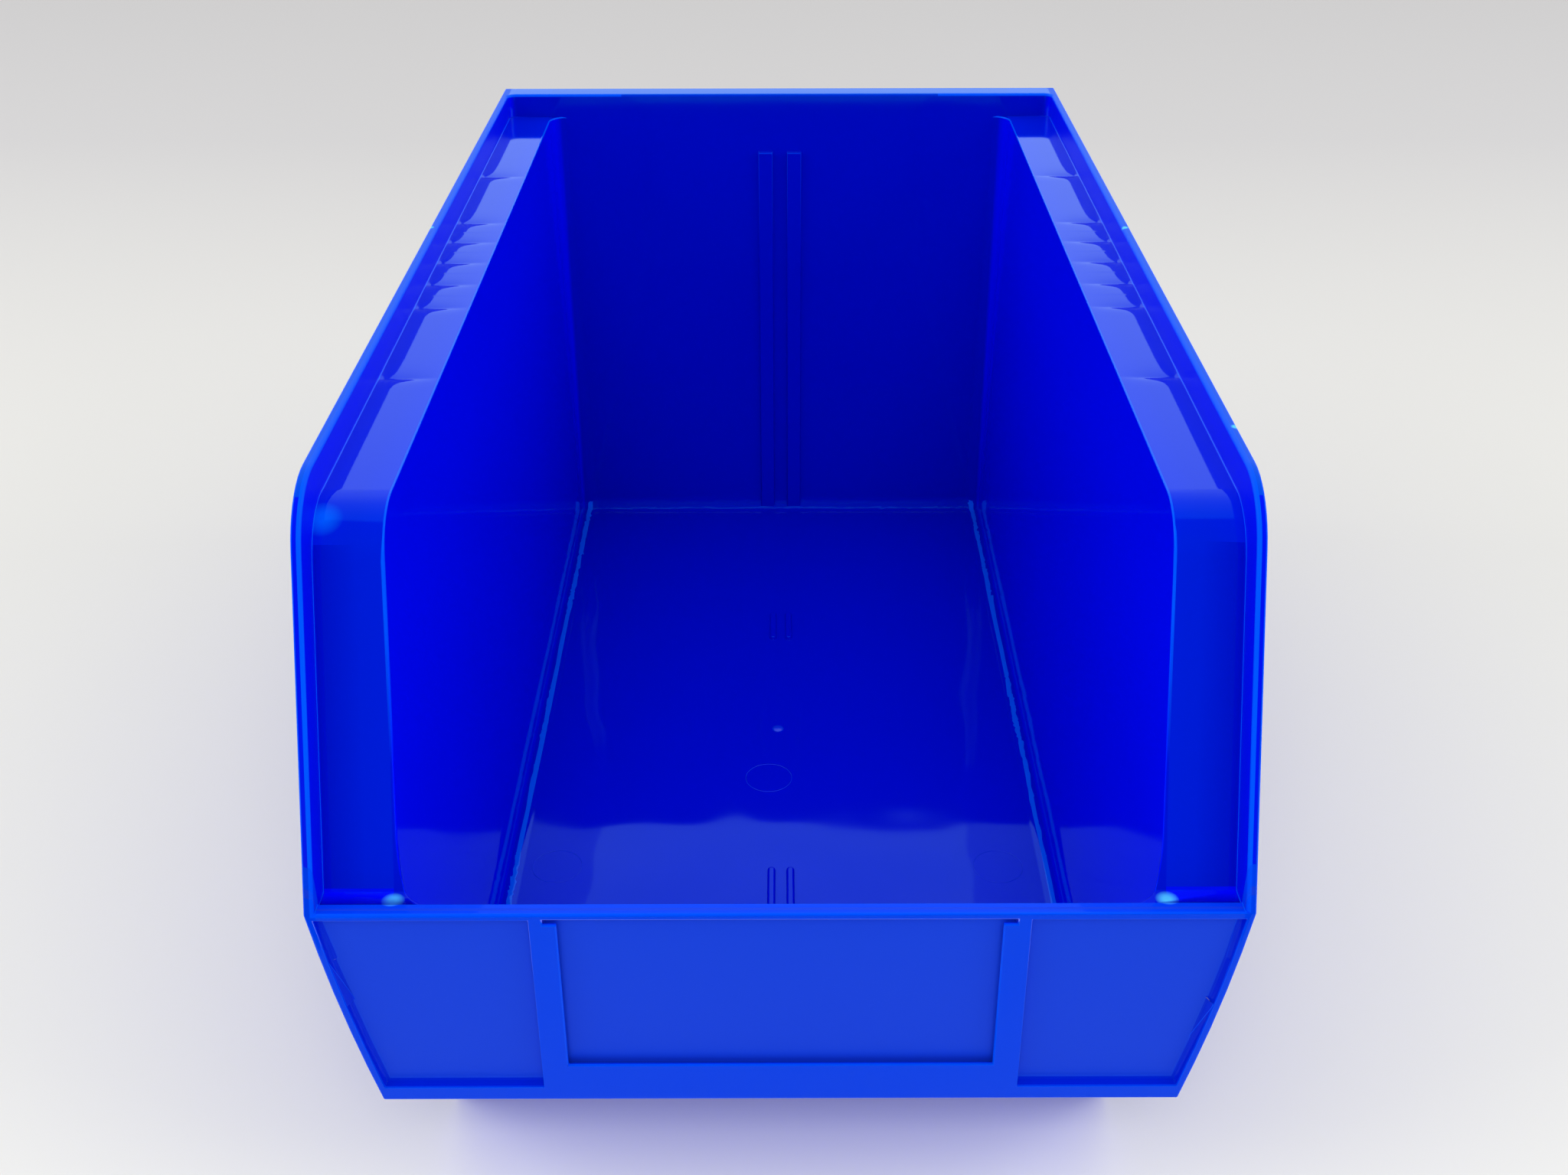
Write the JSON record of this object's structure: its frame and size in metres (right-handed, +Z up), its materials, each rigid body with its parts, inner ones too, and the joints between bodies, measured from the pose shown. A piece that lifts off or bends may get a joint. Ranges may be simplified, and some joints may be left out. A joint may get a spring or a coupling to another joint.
{
  "type": "plastic storage bin",
  "caption": "Stack-and-hang plastic storage bin with an open hopper front, a label panel, stacking ledges inside raised rims and a hanging lip at the back.",
  "frame": {"origin": "middle of the footprint, on the surface that the bin stands on", "axes": "+X across the bin, +Y from the label panel to the back, +Z up"},
  "size_m": [0.21, 0.375, 0.178],
  "materials": {
    "blue_plastic": "glossy, moulded, with a satin label panel"
  },
  "bodies": {
    "root": {"bin_body": "blue_plastic"}
  },
  "joints": []
}
